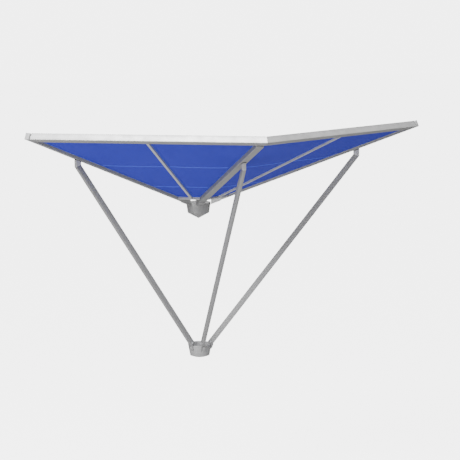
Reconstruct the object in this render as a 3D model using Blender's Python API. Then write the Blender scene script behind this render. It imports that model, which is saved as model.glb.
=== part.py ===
"""Rotary clothesline head: three arms on a turning ring and hub, with two framed cloth bays that fold up.

Metres, +Z up.  The origin is the centre of the mast sleeve's bottom face and +Z is the axis that the head
turns about.  The middle arm points along -Y and the wings mirror each other in the plane
x = 0, apart from where they meet that arm.
"""
import bpy
import bmesh
from math import atan, cos, pi, radians, sin, tan
from mathutils import Matrix, Vector

# ---------------------------------------------------------------- driving dimensions
GAP = 0.0003                    # gap between pieces that touch
ROUND = 48                      # sides of a large round piece
SMALL_ROUND = 16                # sides of a pin or bore

ARM_RADIUS = 1.600              # axis to the tip of an arm, measured level
ARM_SPACING = radians(60)
ARM_SLOPE = radians(21.2)
ARM_WIDTH = 0.040
ARM_DEPTH = 0.045
ARM_WALL = 0.002
ARM_MEET_HEIGHT = 1.0118        # height above the ring's rim where the arms' undersides would meet on the axis
MIDDLE_ARM_LEFT = -0.047        # the middle arm is wider, and lies mostly left of the centre plane
MIDDLE_ARM_RIGHT = 0.006
MIDDLE_STRUT_AZIMUTH = radians(-1.0)

RING_BOTTOM = 0.0091
RING_HEIGHT = 0.085
RING_TOP_RADIUS = 0.088
RING_BOTTOM_RADIUS = 0.072
RING_WALL = 0.0035
RING_FLOOR = 0.007
RING_TOP = RING_BOTTOM + RING_HEIGHT
BOSS_RADIUS = 0.037
BOSS_BORE = 0.0325
BOSS_TOP = 0.0505

SLEEVE_BORE = 0.0253            # takes a 50 mm mast tube
SLEEVE_RADIUS = 0.029
SLEEVE_TOP = 0.058
SLEEVE_FLANGE_RADIUS = 0.046
SLEEVE_FLANGE = 0.0055
GROOVE_RADIUS = 0.027
GROOVE_BOTTOM = 0.0510
GROOVE_TOP = 0.0532
WASHER_RADIUS = 0.045
WASHER_TOP = 0.0088

HUB_TOP = RING_TOP + 1.058
HUB_BOTTOM = RING_TOP + 0.982
HUB_TOP_RADIUS = 0.090
HUB_BOTTOM_RADIUS = 0.079
HUB_WALL = 0.004
CONE_TIP = RING_TOP + 0.938

STRUT_SLOPE = radians(52.6)
STRUT_WIDTH = 0.024
STRUT_DEPTH = 0.041
STRUT_WALL = 0.002
STRUT_LINE_RADIUS = 0.073       # where the strut's middle line crosses the height of the ring's rim
STRUT_FOOT_RADIUS = 0.080
STRUT_HEAD_RADIUS = 1.160
PIN_RADIUS = 0.00375
PIN_STRUT_RADIUS = 0.088        # distance of the foot pin from the head's axis
PAD_THICKNESS = 0.003
DRILL_LENGTH = 0.06

BACK_PLATE = 0.0035             # thickness of the clevis's plate on the ring's wall
BACK_PLATE_TOP = -0.010
CHEEK_FRONT = 0.101             # distances of the cheek's corners from the head's axis
CHEEK_TOP_FRONT = 0.096
CHEEK_TOP_BACK = 0.081
CHEEK_BACK = 0.077
CHEEK_CORNER = 0.006
CHEEK_THICKNESS = 0.0025
CHEEK_BOTTOM = -0.036
CHEEK_TOP = 0.030

TIP_CLEARANCE = 0.018           # extra width that the rim rails need to swing past the middle arm's tip
ROOT_CLEARANCE = 0.009          # hub to a side arm's root
CAP_PLATE = 0.003
CAP_PLUG = 0.010
CRADLE_INSET = 0.002            # the shelf is this much narrower than its arm, on each side
CRADLE_THICKNESS = 0.004
CRADLE_END = 0.165

RIM_WIDTH = 0.056
RIM_DEPTH = 0.044
RIM_MEETING_GAP = 0.001         # between the two rim rails above the middle arm's tip
RAIL_WALL = 0.002
INNER_RAIL_CLEARANCE = 0.0015   # middle arm's side to the inner rail's end
INNER_RAIL_RADIUS = 0.247       # level distance along an arm to the inner rail's outer face
INNER_RAIL_WIDTH = 0.020
INNER_RAIL_DEPTH = 0.030
MID_BAR_WIDTH = 0.018
MID_BAR_LOW = 0.002
MID_BAR_HIGH = 0.028
SIDE_RAIL_INSET = 0.037
HINGE_RAIL_SETBACK = 0.0182     # middle arm's side to the wing's hinge rail
SIDE_RAIL_WIDTH = 0.016
SIDE_RAIL_LOW = 0.019
SIDE_RAIL_HIGH = 0.038
CLOTH_ARM_INSET = 0.0252        # a side arm's centre line to the cloth
CLOTH_LOW = 0.016
CLOTH_THICKNESS = 0.002

HINGE_OFFSET = 0.005            # hinge line beside the middle arm's side
HINGE_HEIGHT = 0.0414           # hinge line above the middle arm's underside, before the bay's tilt is added
CLOTH_HINGE_SETBACK = 0.0062    # middle arm's side to the cloth
KNUCKLE_RADIUS = 0.0036
KNUCKLE_BORE = 0.0020
HINGE_PIN_RADIUS = 0.0017
KNUCKLE_LENGTH = 0.018
LEAF_THICKNESS = 0.003
TAB_REACH = 0.0025              # the wing leaf's tabs, from the rail's edge towards the hinge line
LEAF_BOTTOM = 0.0219            # lower edge of the arm's hinge leaf, before the bay's tilt is added
HINGE_STATIONS = (0.36, 0.94, 1.50)
HINGE_MARGIN = 0.035

MEET = Vector((0, 0, RING_TOP + ARM_MEET_HEIGHT))
BAY_SLOPE = atan(tan(ARM_SLOPE) / cos(ARM_SPACING / 2))
TIP = ARM_RADIUS / cos(ARM_SLOPE)
RIM_REACH = ARM_RADIUS * cos(ARM_SPACING / 2) / cos(BAY_SLOPE)
HALF_BAY_ANGLE = atan(ARM_RADIUS / 2 / RIM_REACH)
INNER_REACH = RIM_REACH * INNER_RAIL_RADIUS / ARM_RADIUS
BAY_TILT = sin(BAY_SLOPE) * sin(ARM_SPACING / 2)    # rise of a bay per metre away from the middle arm


def middle_face(side):
    """How far the middle arm's side face is from the centre plane, on the left (-1) or the right (1)."""
    return MIDDLE_ARM_RIGHT if side > 0 else -MIDDLE_ARM_LEFT


for old in list(bpy.data.objects):
    bpy.data.objects.remove(old)


# ---------------------------------------------------------------- materials
def material(name, colour, roughness, metallic):
    mat = bpy.data.materials.new(name)
    mat.use_nodes = True
    shader = mat.node_tree.nodes["Principled BSDF"]
    shader.inputs["Base Color"].default_value = (*colour, 1)
    shader.inputs["Roughness"].default_value = roughness
    shader.inputs["Metallic"].default_value = metallic
    mat.diffuse_color = (*colour, 1)
    return mat


ALUMINIUM = material("brushed_aluminium", (0.60, 0.60, 0.61), 0.40, 1.0)
CASTING = material("cast_aluminium", (0.55, 0.55, 0.56), 0.55, 1.0)
STEEL = material("steel", (0.50, 0.50, 0.52), 0.30, 1.0)
CLOTH = material("blue_cloth", (0.045, 0.10, 0.44), 0.80, 0.0)
PLASTIC = material("grey_plastic", (0.30, 0.30, 0.31), 0.50, 0.0)
RUBBER = material("rubber", (0.05, 0.05, 0.05), 0.80, 0.0)


# ---------------------------------------------------------------- building blocks
def radial(azimuth):
    return Vector((sin(azimuth), -cos(azimuth), 0))


def sloped_frame(azimuth, slope, origin=MEET):
    """X runs outward and up the slope, Y is level and across it, Z is square to both."""
    out = radial(azimuth)
    across = Vector((0, 0, 1)).cross(out)
    along = out * cos(slope) + Vector((0, 0, sin(slope)))
    normal = along.cross(across)
    turn = Matrix((along, across, normal)).transposed()
    return Matrix.Translation(origin) @ turn.to_4x4()


def finish(name, bm, mat, matrix=Matrix(), parent=None, smooth=False):
    mesh = bpy.data.meshes.new(name)
    bm.to_mesh(mesh)
    bm.free()
    if smooth:
        mesh.shade_smooth()
        mesh.set_sharp_from_angle(angle=radians(35))
    mesh.materials.append(mat)
    obj = bpy.data.objects.new(name, mesh)
    bpy.context.collection.objects.link(obj)
    if parent:
        obj.parent = parent
        obj.matrix_local = parent.matrix_basis.inverted() @ matrix
    else:
        obj.matrix_local = matrix
    return obj


def hinge_empty(name, point, axis):
    """An empty on a joint's axis, with its Z along the axis; moving pieces are its children."""
    empty = bpy.data.objects.new(name, None)
    empty.empty_display_size = 0.1
    turn = axis.to_track_quat('Z', 'Y').to_matrix().to_4x4()
    empty.matrix_basis = Matrix.Translation(point) @ turn
    bpy.context.collection.objects.link(empty)
    return empty


def turned(name, profile, mat, matrix=Matrix(), parent=None, sides=ROUND, closed=True):
    """An outline of (radius, height) points spun a full turn about Z; an open one has its ends on the axis."""
    bm = bmesh.new()
    points = [bm.verts.new((r, 0, z)) for r, z in profile]
    pairs = list(zip(points, points[1:]))
    if closed:
        pairs.append((points[-1], points[0]))
    edges = [bm.edges.new(pair) for pair in pairs]
    bmesh.ops.spin(bm, geom=points + edges, cent=(0, 0, 0), axis=(0, 0, 1), angle=2 * pi, steps=sides,
                   use_merge=True)
    bmesh.ops.remove_doubles(bm, verts=bm.verts, dist=0.00001)
    bmesh.ops.recalc_face_normals(bm, faces=bm.faces)
    return finish(name, bm, mat, matrix, parent, smooth=True)


def on_plane(matrix, y, z, plane):
    """The point of the line (y, z) along the frame's X that lies on a world plane, in the frame's units."""
    point, normal = plane
    start = matrix @ Vector((0, y, z))
    along = matrix.to_3x3() @ Vector((1, 0, 0))
    return Vector(((point - start).dot(normal) / along.dot(normal), y, z))


def rectangle(y0, y1, z0, z1):
    return [(y0, z0), (y1, z0), (y1, z1), (y0, z1)]


def inset_rectangle(y0, y1, z0, z1, wall):
    return rectangle(y0 + wall, y1 - wall, z0 + wall, z1 - wall)


def bar(name, mat, matrix, sides, ends, wall=None, parent=None):
    """A bar along the frame's X between two world planes: solid, or a tube when it has a wall."""
    bm = bmesh.new()
    outer = [[bm.verts.new(on_plane(matrix, y, z, end)) for y, z in rectangle(*sides)] for end in ends]
    count = len(outer[0])
    for i in range(count):
        j = (i + 1) % count
        bm.faces.new((outer[0][i], outer[0][j], outer[1][j], outer[1][i]))
    if wall:
        inner = [[bm.verts.new(on_plane(matrix, y, z, end)) for y, z in inset_rectangle(*sides, wall)]
                 for end in ends]
        for i in range(count):
            j = (i + 1) % count
            bm.faces.new((inner[0][j], inner[0][i], inner[1][i], inner[1][j]))
            bm.faces.new((outer[0][j], outer[0][i], inner[0][i], inner[0][j]))
            bm.faces.new((outer[1][i], outer[1][j], inner[1][j], inner[1][i]))
    else:
        bm.faces.new(reversed(outer[0]))
        bm.faces.new(outer[1])
    bmesh.ops.recalc_face_normals(bm, faces=bm.faces)
    return finish(name, bm, mat, matrix, parent)


def plate(name, mat, matrix, outline, low, high, parent=None):
    """A flat outline in the frame's XY, from height low to height high."""
    bm = bmesh.new()
    base = bm.faces.new([bm.verts.new((x, y, low)) for x, y in outline])
    top = bmesh.ops.extrude_face_region(bm, geom=[base])
    lifted = [v for v in top["geom"] if isinstance(v, bmesh.types.BMVert)]
    bmesh.ops.translate(bm, verts=lifted, vec=(0, 0, high - low))
    bmesh.ops.recalc_face_normals(bm, faces=bm.faces)
    return finish(name, bm, mat, matrix, parent)


def box_into(bm, low, high, matrix=Matrix()):
    """Adds one box between two corners of the frame to a mesh that is being built."""
    size = Vector(high) - Vector(low)
    middle = (Vector(high) + Vector(low)) / 2
    place = matrix @ Matrix.Translation(middle) @ Matrix.Diagonal((*size, 1))
    bmesh.ops.create_cube(bm, size=1, matrix=place)


def cylinder_into(bm, radius, length, matrix, sides=SMALL_ROUND):
    bmesh.ops.create_cone(bm, cap_ends=True, segments=sides, radius1=radius, radius2=radius, depth=length,
                          matrix=matrix)


def hidden_tool(name, bm):
    """A cutter or a joined piece for a Boolean, kept out of the model."""
    mesh = bpy.data.meshes.new(name)
    bm.to_mesh(mesh)
    bm.free()
    tool = bpy.data.objects.new(name, mesh)
    tool.hide_render = True
    tool.display_type = 'WIRE'
    bpy.context.collection.objects.link(tool)
    return tool


def combine(obj, tool, operation):
    change = obj.modifiers.new(operation.lower(), 'BOOLEAN')
    change.operation = operation
    change.solver = 'EXACT'
    change.object = tool


def level_plane(azimuth, distance):
    """An upright plane square to an arm's direction, at a level distance from the axis."""
    out = radial(azimuth)
    return (out * distance, out)


def frame_plane(matrix, axis, distance):
    """A plane square to one of the frame's axes, at a distance along it."""
    normal = matrix.to_3x3() @ Vector(axis)
    return (matrix @ (Vector(axis) * distance), normal)


# ---------------------------------------------------------------- mast sleeve and lower ring
def mast_parts():
    turned("mast_sleeve", [
        (SLEEVE_BORE, 0), (SLEEVE_FLANGE_RADIUS, 0), (SLEEVE_FLANGE_RADIUS, SLEEVE_FLANGE),
        (SLEEVE_RADIUS, SLEEVE_FLANGE), (SLEEVE_RADIUS, GROOVE_BOTTOM), (GROOVE_RADIUS, GROOVE_BOTTOM),
        (GROOVE_RADIUS, GROOVE_TOP), (SLEEVE_RADIUS, GROOVE_TOP), (SLEEVE_RADIUS, SLEEVE_TOP),
        (SLEEVE_BORE, SLEEVE_TOP)], STEEL)
    turned("thrust_washer", [
        (SLEEVE_RADIUS + GAP, SLEEVE_FLANGE + GAP), (WASHER_RADIUS, SLEEVE_FLANGE + GAP),
        (WASHER_RADIUS, WASHER_TOP), (SLEEVE_RADIUS + GAP, WASHER_TOP)], PLASTIC)
    turned("retaining_ring", [
        (GROOVE_RADIUS + GAP, GROOVE_BOTTOM + GAP), (BOSS_RADIUS, GROOVE_BOTTOM + GAP),
        (BOSS_RADIUS, GROOVE_TOP - GAP), (GROOVE_RADIUS + GAP, GROOVE_TOP - GAP)], STEEL)


def ring_parts(head):
    taper = (RING_TOP_RADIUS - RING_BOTTOM_RADIUS) / RING_HEIGHT
    floor_top = RING_BOTTOM + RING_FLOOR
    wall_at_floor = RING_BOTTOM_RADIUS + taper * RING_FLOOR - RING_WALL
    turned("lower_ring", [
        (BOSS_BORE, RING_BOTTOM), (RING_BOTTOM_RADIUS, RING_BOTTOM), (RING_TOP_RADIUS, RING_TOP),
        (RING_TOP_RADIUS - RING_WALL, RING_TOP), (wall_at_floor, floor_top), (BOSS_RADIUS, floor_top),
        (BOSS_RADIUS, BOSS_TOP), (BOSS_BORE, BOSS_TOP)], CASTING, parent=head)
    turned("ring_bush", [
        (SLEEVE_RADIUS + GAP, RING_BOTTOM), (BOSS_BORE - GAP, RING_BOTTOM),
        (BOSS_BORE - GAP, BOSS_TOP), (SLEEVE_RADIUS + GAP, BOSS_TOP)], PLASTIC, parent=head)


def hub_parts(head):
    turned("hub_shell", [
        (HUB_BOTTOM_RADIUS, HUB_BOTTOM), (HUB_TOP_RADIUS, HUB_TOP), (HUB_TOP_RADIUS - HUB_WALL, HUB_TOP),
        (HUB_BOTTOM_RADIUS - HUB_WALL, HUB_BOTTOM)], CASTING, parent=head)
    cone_top = HUB_BOTTOM - GAP
    slope = (cone_top - CONE_TIP) / HUB_BOTTOM_RADIUS
    inner_radius = HUB_BOTTOM_RADIUS - HUB_WALL
    turned("hub_cone", [
        (0, CONE_TIP), (HUB_BOTTOM_RADIUS, cone_top), (inner_radius, cone_top),
        (0, cone_top - slope * inner_radius)], CASTING, parent=head, closed=False)


# ---------------------------------------------------------------- arms
def arm(label, azimuth, start, end, parent, left=-ARM_WIDTH / 2, right=ARM_WIDTH / 2):
    """A rectangular tube with a plugged end cap; start is a world plane, end a distance along the arm."""
    matrix = sloped_frame(azimuth, ARM_SLOPE)
    tube_end = end - CAP_PLATE - GAP
    bar(f"{label}_arm", ALUMINIUM, matrix, (left, right, 0, ARM_DEPTH),
        (start, frame_plane(matrix, (1, 0, 0), tube_end)), ARM_WALL, parent)
    plug_sides = inset_rectangle(left, right, 0, ARM_DEPTH, ARM_WALL + GAP)
    plate_sides = rectangle(left, right, 0, ARM_DEPTH)
    bm = bmesh.new()
    rings = [plug_sides, plug_sides, plate_sides, plate_sides]
    stations = [tube_end - CAP_PLUG, end - CAP_PLATE, end - CAP_PLATE, end]
    loops = [[bm.verts.new((x, y, z)) for y, z in ring] for x, ring in zip(stations, rings)]
    bm.faces.new(loops[0])
    bm.faces.new(loops[-1])
    for near, far in zip(loops, loops[1:]):
        for i in range(4):
            j = (i + 1) % 4
            bm.faces.new((near[i], near[j], far[j], far[i]))
    bmesh.ops.recalc_face_normals(bm, faces=bm.faces)
    finish(f"{label}_arm_cap", bm, PLASTIC, matrix, parent)


def arm_cradle(label, azimuth, head, left=-ARM_WIDTH / 2, right=ARM_WIDTH / 2):
    """The shelf on the hub that an arm's root rests on."""
    matrix = sloped_frame(azimuth, ARM_SLOPE)
    bar(f"{label}_arm_cradle", CASTING, matrix,
        (left + CRADLE_INSET, right - CRADLE_INSET, -CRADLE_THICKNESS, -GAP),
        (level_plane(azimuth, HUB_TOP_RADIUS + GAP), level_plane(azimuth, CRADLE_END)), None, head)


# ---------------------------------------------------------------- struts
def strut_frame(azimuth):
    foot = radial(azimuth) * STRUT_LINE_RADIUS + Vector((0, 0, RING_TOP))
    return sloped_frame(azimuth, STRUT_SLOPE, foot)


def pin_frame(azimuth):
    """Frame of a foot pin: its Z is the pin's axis, across the strut."""
    reach = (PIN_STRUT_RADIUS - STRUT_LINE_RADIUS) / cos(STRUT_SLOPE)
    point = strut_frame(azimuth) @ Vector((reach, 0, 0))
    across = Vector((0, 0, 1)).cross(radial(azimuth))
    return Matrix.Translation(point) @ across.to_track_quat('Z', 'Y').to_matrix().to_4x4()


def strut_parts(label, azimuth, parent):
    matrix = strut_frame(azimuth)
    half = STRUT_WIDTH / 2
    deep = STRUT_DEPTH / 2
    foot_end = (STRUT_FOOT_RADIUS - STRUT_LINE_RADIUS) / cos(STRUT_SLOPE)
    head_end = (STRUT_HEAD_RADIUS - STRUT_LINE_RADIUS) / cos(STRUT_SLOPE)
    head_point = matrix @ Vector((head_end, 0, 0))
    tilt = (STRUT_SLOPE + radians(90)) / 2
    mitre_normal = radial(azimuth) * cos(tilt) + Vector((0, 0, sin(tilt)))
    strut = bar(f"{label}_strut", ALUMINIUM, matrix, (-half, half, -deep, deep),
                (frame_plane(matrix, (1, 0, 0), foot_end), (head_point, mitre_normal)), STRUT_WALL, parent)
    bm = bmesh.new()
    cylinder_into(bm, PIN_RADIUS + GAP, DRILL_LENGTH, pin_frame(azimuth))
    combine(strut, hidden_tool(f"{label}_strut_pin_hole", bm), 'DIFFERENCE')

    upright = Matrix.Translation(head_point) @ Matrix(
        (Vector((0, 0, 1)), Vector((0, 0, 1)).cross(radial(azimuth)), -radial(azimuth))).transposed().to_4x4()
    arm_normal = sloped_frame(azimuth, ARM_SLOPE).to_3x3() @ Vector((0, 0, 1))
    pad_bottom = MEET - arm_normal * (PAD_THICKNESS + 2 * GAP)
    bar(f"{label}_strut_head", CASTING, upright, (-half, half, -deep, deep),
        ((head_point + mitre_normal * GAP, mitre_normal), (pad_bottom, arm_normal)), None, parent)
    pad_frame = sloped_frame(azimuth, ARM_SLOPE)
    bar(f"{label}_strut_pad", RUBBER, pad_frame, (-half, half, -PAD_THICKNESS - GAP, -GAP),
        (level_plane(azimuth, STRUT_HEAD_RADIUS - deep), level_plane(azimuth, STRUT_HEAD_RADIUS + deep)),
        None, parent)


def foot_clevis(label, azimuth, head):
    """Two cheeks on a back plate that lies on the ring's wall; the strut's foot turns between the cheeks."""
    matrix = sloped_frame(azimuth, 0, Vector((0, 0, RING_TOP)))
    taper = (RING_TOP_RADIUS - RING_BOTTOM_RADIUS) / RING_HEIGHT
    inner_face = STRUT_WIDTH / 2 + GAP
    outer_face = inner_face + CHEEK_THICKNESS
    clear = RING_TOP_RADIUS + GAP
    plate = bmesh.new()
    loops = []
    for z in (CHEEK_BOTTOM, BACK_PLATE_TOP):
        wall = clear + taper * z
        loops.append([plate.verts.new((r, y, z)) for r, y in (
            (wall, -outer_face), (wall + BACK_PLATE, -outer_face),
            (wall + BACK_PLATE, outer_face), (wall, outer_face))])
    plate.faces.new(loops[0])
    plate.faces.new(loops[1])
    for i in range(4):
        j = (i + 1) % 4
        plate.faces.new((loops[0][i], loops[0][j], loops[1][j], loops[1][i]))
    bmesh.ops.recalc_face_normals(plate, faces=plate.faces)
    clevis = finish(f"{label}_foot_clevis", plate, CASTING, matrix, head)

    step = 0.001                # keeps the cheeks' faces off the plate's, so the two join cleanly
    bottom = CHEEK_BOTTOM + step
    low_wall = clear + taper * bottom
    outline = [(low_wall + step, bottom), (low_wall + 2 * BACK_PLATE, bottom),
               (CHEEK_FRONT, step - CHEEK_CORNER), (CHEEK_FRONT, CHEEK_TOP - CHEEK_CORNER),
               (CHEEK_TOP_FRONT, CHEEK_TOP), (CHEEK_TOP_BACK, CHEEK_TOP),
               (CHEEK_BACK, CHEEK_TOP - CHEEK_CORNER), (CHEEK_BACK, step), (clear + step, step)]
    cheeks = bmesh.new()
    for side in (-1, 1):
        near, far = sorted((side * inner_face, side * (outer_face - GAP)))
        face = cheeks.faces.new([cheeks.verts.new((r, near, z)) for r, z in outline])
        extra = bmesh.ops.extrude_face_region(cheeks, geom=[face])
        moved = [v for v in extra["geom"] if isinstance(v, bmesh.types.BMVert)]
        bmesh.ops.translate(cheeks, verts=moved, vec=(0, far - near, 0))
    bmesh.ops.recalc_face_normals(cheeks, faces=cheeks.faces)
    bmesh.ops.transform(cheeks, matrix=matrix, verts=cheeks.verts)
    combine(clevis, hidden_tool(f"{label}_clevis_cheeks", cheeks), 'UNION')
    hole = bmesh.new()
    cylinder_into(hole, PIN_RADIUS + GAP, DRILL_LENGTH, pin_frame(azimuth))
    combine(clevis, hidden_tool(f"{label}_clevis_pin_hole", hole), 'DIFFERENCE')


def foot_pin(label, azimuth, head):
    reach = STRUT_WIDTH / 2 + GAP + CHEEK_THICKNESS + GAP
    head_radius = 0.0062
    head_length = 0.0028
    turned(f"{label}_foot_pin", [
        (0, -reach - head_length), (head_radius, -reach - head_length), (head_radius, -reach),
        (PIN_RADIUS, -reach), (PIN_RADIUS, reach), (head_radius, reach),
        (head_radius, reach + head_length), (0, reach + head_length)], STEEL, pin_frame(azimuth), head,
        SMALL_ROUND, closed=False)


# ---------------------------------------------------------------- hinges along the middle arm
def hinge_axis(side):
    """Frame of one wing's hinge line: X along the middle arm, Y level, Z square to the arm's top."""
    matrix = sloped_frame(0, ARM_SLOPE)
    offset = middle_face(side) + HINGE_OFFSET
    return matrix @ Matrix.Translation((0, side * offset, HINGE_HEIGHT + BAY_TILT * offset))


def knuckle_turn():
    return Matrix.Rotation(radians(90), 4, 'Y')


def hinge_parts(label, side, head, wing, bay):
    """A long hinge: a leaf on the arm's side, a leaf on the wing's hinge rail, and the rod they turn on."""
    axis_frame = hinge_axis(side)
    arm_frame = sloped_frame(0, ARM_SLOPE)
    rail_frame = side_rail_frame(bay, 0)
    rail_side = -side if bay * side < 0 else side
    first = HINGE_STATIONS[0] - HINGE_MARGIN
    last = HINGE_STATIONS[-1] + HINGE_MARGIN
    face = middle_face(side) + GAP
    near, far = sorted((side * face, side * (face + LEAF_THICKNESS)))
    rail_edge = middle_face(side) + HINGE_RAIL_SETBACK
    hinge_height = HINGE_HEIGHT + BAY_TILT * (middle_face(side) + HINGE_OFFSET)
    low = SIDE_RAIL_HIGH + GAP
    high = low + LEAF_THICKNESS
    step = 0.001                # keeps tabs and leaves from sharing a face where they join
    skin = 0.0002
    inner_edge, outer_edge = sorted((rail_side * (rail_edge + step), rail_side * (rail_edge + SIDE_RAIL_WIDTH)))
    tab_inner, tab_outer = sorted((rail_side * (rail_edge - TAB_REACH), rail_side * (rail_edge + 4 * step)))

    arm_leaf = bmesh.new()
    leaf_top = hinge_height - KNUCKLE_RADIUS - step / 2
    leaf_bottom = LEAF_BOTTOM + BAY_TILT * middle_face(side)
    box_into(arm_leaf, (first, near, leaf_bottom), (last, far, leaf_top), arm_frame)
    arm_tabs = bmesh.new()
    wing_leaf = bmesh.new()
    box_into(wing_leaf, (first, inner_edge, low), (last, outer_edge, high), rail_frame)
    arm_knuckles = bmesh.new()
    arm_bores = bmesh.new()
    wing_tabs = bmesh.new()
    wing_knuckles = bmesh.new()
    wing_bores = bmesh.new()
    spread = KNUCKLE_LENGTH + GAP
    half = KNUCKLE_LENGTH / 2
    tab_half = half - step
    for station in HINGE_STATIONS:
        centre = axis_frame @ Matrix.Translation((station, 0, 0))
        for shift in (-spread, spread):
            place = centre @ Matrix.Translation((shift, 0, 0)) @ knuckle_turn()
            cylinder_into(arm_knuckles, KNUCKLE_RADIUS, KNUCKLE_LENGTH, place)
            cylinder_into(arm_bores, KNUCKLE_BORE, KNUCKLE_LENGTH * 1.1, place)
            along = station + shift
            box_into(arm_tabs, (along - tab_half, near + skin, leaf_top - 4 * step),
                     (along + tab_half, far - skin, hinge_height - step), arm_frame)
        cylinder_into(wing_knuckles, KNUCKLE_RADIUS, KNUCKLE_LENGTH, centre @ knuckle_turn())
        cylinder_into(wing_bores, KNUCKLE_BORE, KNUCKLE_LENGTH * 1.2, centre @ knuckle_turn())
        box_into(wing_tabs, (station - tab_half, tab_inner, low + skin),
                 (station + tab_half, tab_outer, high - skin), rail_frame)
    leaf = finish(f"{label}_hinge_arm_leaf", arm_leaf, STEEL, parent=head)
    combine(leaf, hidden_tool(f"{label}_arm_tabs", arm_tabs), 'UNION')
    combine(leaf, hidden_tool(f"{label}_arm_knuckles", arm_knuckles), 'UNION')
    combine(leaf, hidden_tool(f"{label}_arm_knuckle_bores", arm_bores), 'DIFFERENCE')
    flap = finish(f"{label}_hinge_wing_leaf", wing_leaf, STEEL, parent=wing)
    combine(flap, hidden_tool(f"{label}_wing_tabs", wing_tabs), 'UNION')
    combine(flap, hidden_tool(f"{label}_wing_knuckles", wing_knuckles), 'UNION')
    combine(flap, hidden_tool(f"{label}_wing_knuckle_bores", wing_bores), 'DIFFERENCE')
    rod = bmesh.new()
    middle = axis_frame @ Matrix.Translation(((first + last) / 2, 0, 0)) @ knuckle_turn()
    cylinder_into(rod, HINGE_PIN_RADIUS, last - first, middle)
    finish(f"{label}_hinge_rod", rod, STEEL, parent=head)


# ---------------------------------------------------------------- wings: frame and cloth of one bay
def side_rail_frame(bay, arm_azimuth):
    """In the bay's plane: X along one of its arms, Y across, Z square to the cloth."""
    bay_frame = sloped_frame(bay, BAY_SLOPE)
    turn = HALF_BAY_ANGLE if arm_azimuth > bay else -HALF_BAY_ANGLE
    return bay_frame @ Matrix.Rotation(turn, 4, 'Z')


def wing_parts(label, bay, outer_azimuth, wing):
    bay_frame = sloped_frame(bay, BAY_SLOPE)
    across_frame = bay_frame @ Matrix.Rotation(radians(90), 4, 'Z')
    outward = 1 if outer_azimuth > bay else -1
    outer_arm = sloped_frame(outer_azimuth, ARM_SLOPE)
    middle_arm = sloped_frame(0, ARM_SLOPE)
    half_arm = ARM_WIDTH / 2

    outer_face = frame_plane(outer_arm, (0, -outward, 0), half_arm + GAP)
    mirror_face = (Vector((outward * RIM_MEETING_GAP / 2, 0, 0)), Vector((1, 0, 0)))
    hinge_face = frame_plane(middle_arm, (0, outward, 0), middle_face(outward) + INNER_RAIL_CLEARANCE)
    rim_inside = RIM_REACH - RIM_WIDTH
    ends = (outer_face, mirror_face) if outward < 0 else (mirror_face, outer_face)

    # in across_frame, X runs along the rim and Y runs back towards the hub
    bar(f"{label}_rim_rail", ALUMINIUM, across_frame, (-RIM_REACH, -rim_inside, 0, RIM_DEPTH), ends,
        RAIL_WALL, wing)
    ends = (outer_face, hinge_face) if outward < 0 else (hinge_face, outer_face)
    bar(f"{label}_inner_rail", ALUMINIUM, across_frame,
        (-INNER_REACH, -INNER_REACH + INNER_RAIL_WIDTH, 0, INNER_RAIL_DEPTH), ends, RAIL_WALL, wing)

    inner_stop = frame_plane(bay_frame, (1, 0, 0), INNER_REACH + GAP)
    rim_stop = frame_plane(bay_frame, (1, 0, 0), rim_inside - GAP)
    half_bar = MID_BAR_WIDTH / 2
    bar(f"{label}_mid_bar", ALUMINIUM, bay_frame, (-half_bar, half_bar, MID_BAR_LOW, MID_BAR_HIGH),
        (inner_stop, rim_stop), RAIL_WALL, wing)
    hinge_inset = middle_face(outward) + HINGE_RAIL_SETBACK
    for rail, azimuth, inset in (("hinge", 0, hinge_inset), ("arm", outer_azimuth, SIDE_RAIL_INSET)):
        matrix = side_rail_frame(bay, azimuth)
        inward = -1 if azimuth > bay else 1
        low, high = sorted((inward * inset, inward * (inset + SIDE_RAIL_WIDTH)))
        bar(f"{label}_{rail}_rail", ALUMINIUM, matrix, (low, high, SIDE_RAIL_LOW, SIDE_RAIL_HIGH),
            (inner_stop, rim_stop), RAIL_WALL, wing)

    near = INNER_REACH + GAP
    far = rim_inside - GAP
    spread = tan(HALF_BAY_ANGLE)
    cloth_edge = middle_face(outward) + CLOTH_HINGE_SETBACK
    for panel, sign, edge in (("outer", outward, CLOTH_ARM_INSET), ("inner", -outward, cloth_edge)):
        inset = edge / cos(HALF_BAY_ANGLE)
        side_near = sign * (near * spread - inset)
        side_far = sign * (far * spread - inset)
        middle = sign * (half_bar + GAP)
        plate(f"{label}_cloth_{panel}", CLOTH, bay_frame,
              [(near, middle), (far, middle), (far, side_far), (near, side_near)],
              CLOTH_LOW, CLOTH_LOW + CLOTH_THICKNESS, wing)


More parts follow.
